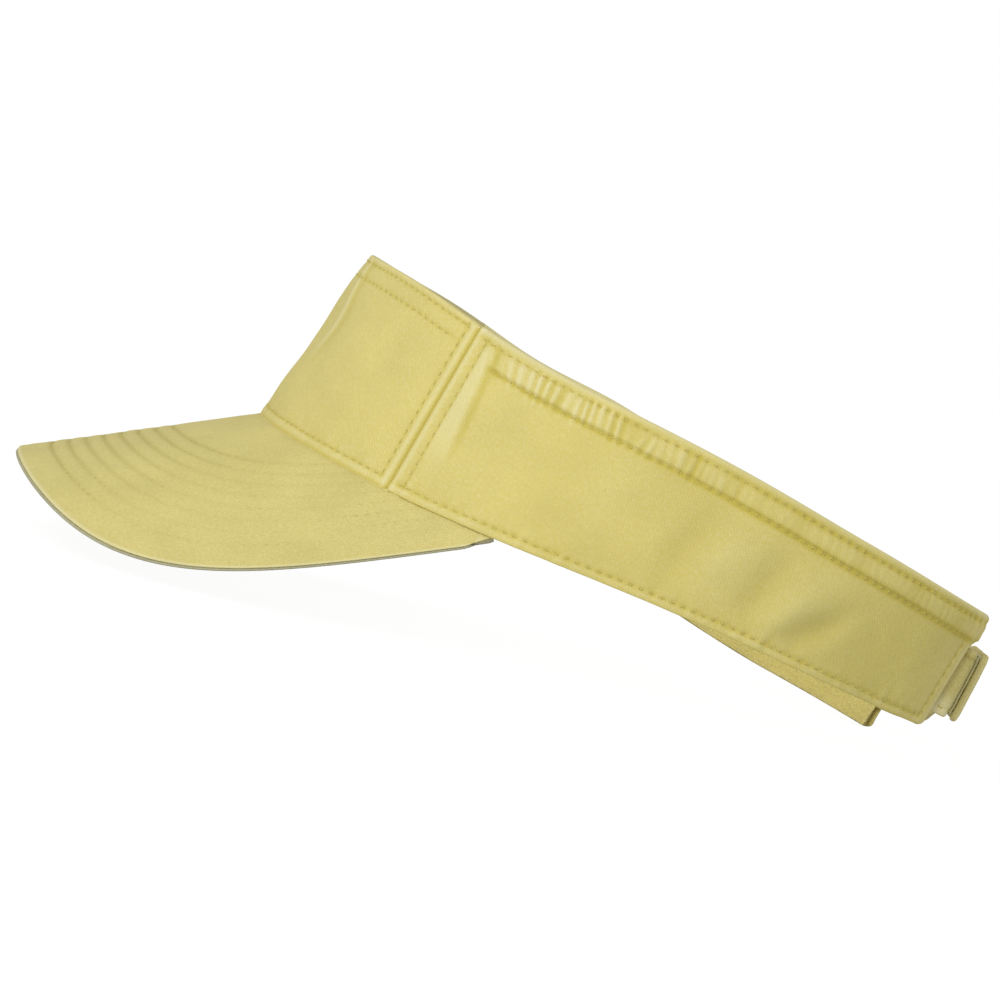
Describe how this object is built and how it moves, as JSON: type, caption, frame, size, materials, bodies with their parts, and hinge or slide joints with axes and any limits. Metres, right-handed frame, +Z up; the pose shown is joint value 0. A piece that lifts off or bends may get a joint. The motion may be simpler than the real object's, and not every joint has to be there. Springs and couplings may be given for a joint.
{
  "type": "sun visor",
  "caption": "Open-crown sun visor: stitched curved bill on a stiff front panel, soft side panels with an elastic top casing, and a hook-and-loop strap at the back that sets the size.",
  "frame": {"origin": "middle of the visor's box, on the ground that it rests on", "axes": "+Z up; -Y the wearer's front, towards the bill; +X the wearer's left. At rest the nose is up by 13 degrees: it stands on the two corners of the bill and on the rear of the band"},
  "size_m": [0.16, 0.2654, 0.0937],
  "materials": {
    "cover_twill": "washed cotton twill, pale lemon yellow, stitched in rows",
    "rim_twill": "cotton twill, grey-green shade of yellow",
    "panel_twill": "washed cotton twill, pale lemon yellow, soft",
    "facing_twill": "thin pale cotton tape",
    "lining_twill": "cotton twill, brushed",
    "strap_twill": "folded cotton twill strap, stitched edges",
    "buckram": "stiff white woven backing",
    "elastic": "braided elastic",
    "terry": "looped terry sweatband",
    "satin": "satin ribbon, blank",
    "loop_tape": "fluffy loop tape",
    "hook_tape": "woven hook tape",
    "board_plastic": "bent sheet, hidden between the covers"
  },
  "bodies": {
    "front": {"bill_top_cover": "cover_twill", "bill_board": "board_plastic", "bill_under_cover": "rim_twill", "front_panel": "panel_twill", "front_backing": "buckram", "front_top_facing": "facing_twill", "sweatband_front": "terry"},
    "left_side": {"left_side_panel": "panel_twill", "left_top_casing": "panel_twill", "left_top_elastic": "elastic", "left_seam_tape": "facing_twill", "left_side_lining": "lining_twill", "left_sweatband": "terry", "care_label": "satin"},
    "right_side": {"right_side_panel": "panel_twill", "right_top_casing": "panel_twill", "right_top_elastic": "elastic", "right_seam_tape": "facing_twill", "right_side_lining": "lining_twill", "right_sweatband": "terry"},
    "left_strap": {"loop_strap": "strap_twill", "loop_tape": "loop_tape"},
    "right_strap": {"hook_strap": "strap_twill"},
    "peel_tab": {"hook_tab": "strap_twill", "hook_tape": "hook_tape"}
  },
  "joints": [
    {"name": "right_flex", "type": "hinge", "parent": "front", "child": "right_side", "pos_m": [-0.0594, -0.02565, 0.05987], "axis": [0, 0.225, 0.9744], "range_deg": [-4.4, 3.2]},
    {"name": "left_flex", "type": "hinge", "parent": "front", "child": "left_side", "pos_m": [0.0594, -0.02547, 0.06063], "axis": [0, 0.225, 0.9744], "range_deg": [-3.3, 4.5]},
    {"name": "right_strap_swing", "type": "hinge", "parent": "right_side", "child": "right_strap", "pos_m": [-0.04143, 0.11557, 0.02319], "axis": [0, 0.225, 0.9744], "range_deg": [-3.3, 4.5]},
    {"name": "left_strap_swing", "type": "hinge", "parent": "left_side", "child": "left_strap", "pos_m": [0.03911, 0.11733, 0.02279], "axis": [0, 0.225, 0.9744], "range_deg": [-4.5, 3.3]},
    {"name": "tab_peel", "type": "hinge", "parent": "right_strap", "child": "peel_tab", "pos_m": [-0.022, 0.12937, 0.01796], "axis": [0, 0.225, 0.9744], "range_deg": [0, 130]}
  ],
  "couplings": [
    {"joint": "left_flex", "follows": "right_flex", "ratio": -1},
    {"joint": "right_strap_swing", "follows": "right_flex", "ratio": -1},
    {"joint": "left_strap_swing", "follows": "right_flex", "ratio": 1}
  ]
}
